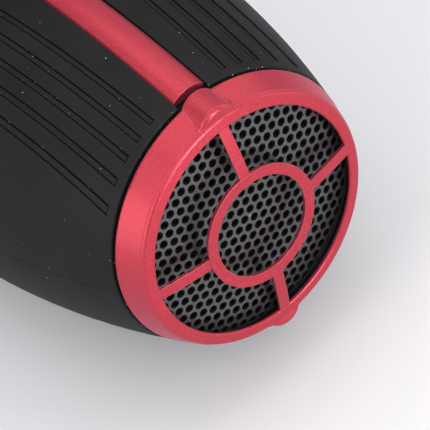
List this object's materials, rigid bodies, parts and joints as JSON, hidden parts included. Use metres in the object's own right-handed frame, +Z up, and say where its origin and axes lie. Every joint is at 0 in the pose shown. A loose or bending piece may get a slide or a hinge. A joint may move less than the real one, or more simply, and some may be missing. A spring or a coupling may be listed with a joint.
{
  "type": "car dryer blower",
  "caption": "Hand-carried air blower for drying cars: barrel body with an intake grille, a carrying handle with switch and speed knob, and a push-on nozzle.",
  "frame": {"origin": "on the ground under the middle of the blower's bounding box, level with the rubber feet", "axes": "+X along the barrel from the intake grille to the nozzle, +Y to the left seen from behind, +Z up"},
  "size_m": [0.3462, 0.133, 0.1995],
  "materials": {
    "red_paint": "pearl paint, satin",
    "black_shell": "soft matt",
    "black_plastic": "matt",
    "grey_screen": "satin paint",
    "foam": "open-cell foam",
    "rubber": "matt",
    "soft_rubber": "fine ribs, matt",
    "zinc_steel": "plated",
    "ground_steel": "ground",
    "core_steel": "stacked sheets",
    "sheet_alu": "satin",
    "cast_alu": "as cast",
    "copper": "enamelled copper",
    "brass": "satin",
    "carbon": "pressed carbon",
    "switch_plastic": "satin gloss",
    "board": "lacquered board"
  },
  "bodies": {
    "body": {"upper_shell": "black_shell", "lower_shell": "black_shell", "shell_screws": "zinc_steel", "rubber_feet": "rubber", "rear_strip": "red_paint", "handle_strip": "red_paint", "front_ring": "red_paint", "handle_left": "black_shell", "handle_right": "black_shell", "handle_screws": "zinc_steel", "foot_screws": "zinc_steel", "soft_grip": "soft_rubber", "switch_bezel": "black_plastic", "switch_body": "black_plastic", "speed_pot": "black_plastic", "inlet_duct": "black_plastic", "rear_motor_mount": "rubber", "fan_case": "sheet_alu", "guide_plate": "sheet_alu", "rear_bearing": "ground_steel", "front_bearing": "ground_steel", "rear_bracket": "cast_alu", "front_bracket": "cast_alu", "motor_bolts": "zinc_steel", "field_core": "core_steel", "field_coils": "copper", "brush_holders": "brass", "carbon_brushes": "carbon", "front_motor_mount": "rubber", "motor_spider": "black_plastic", "speed_board": "board", "heat_sink": "sheet_alu", "outlet_duct": "black_plastic", "spigot_seal": "rubber", "cord_gland": "rubber"},
    "grille_cap": {"rear_grille": "red_paint", "mesh_screen": "grey_screen", "filter_basket": "black_plastic", "foam_filter": "foam", "filter_retainer": "black_plastic"},
    "nozzle_set": {"nozzle": "black_shell", "nozzle_tip": "rubber"},
    "rotor": {"shaft": "ground_steel", "armature": "core_steel", "commutator": "copper", "impeller": "sheet_alu", "impeller_nut": "zinc_steel"},
    "rocker_switch": {"rocker": "switch_plastic"},
    "knob": {"speed_knob": "switch_plastic"}
  },
  "joints": [
    {"name": "grille_pull", "type": "slide", "parent": "body", "child": "grille_cap", "axis": [-1, 0, 0], "range_m": [0, 0.03]},
    {"name": "nozzle_pull", "type": "slide", "parent": "body", "child": "nozzle_set", "axis": [1, 0, 0], "range_m": [0, 0.026]},
    {"name": "rotor_spin", "type": "hinge", "parent": "body", "child": "rotor", "pos_m": [-0.0186, 0, 0.0705], "axis": [1, 0, 0], "continuous": true},
    {"name": "rocker_tip", "type": "hinge", "parent": "body", "child": "rocker_switch", "pos_m": [0.02122, 0, 0.18782], "axis": [0, 1, 0], "range_deg": [0, 16]},
    {"name": "knob_turn", "type": "hinge", "parent": "body", "child": "knob", "pos_m": [0.05418, 0, 0.14569], "axis": [0, 1, 0], "range_deg": [0, 270]}
  ]
}
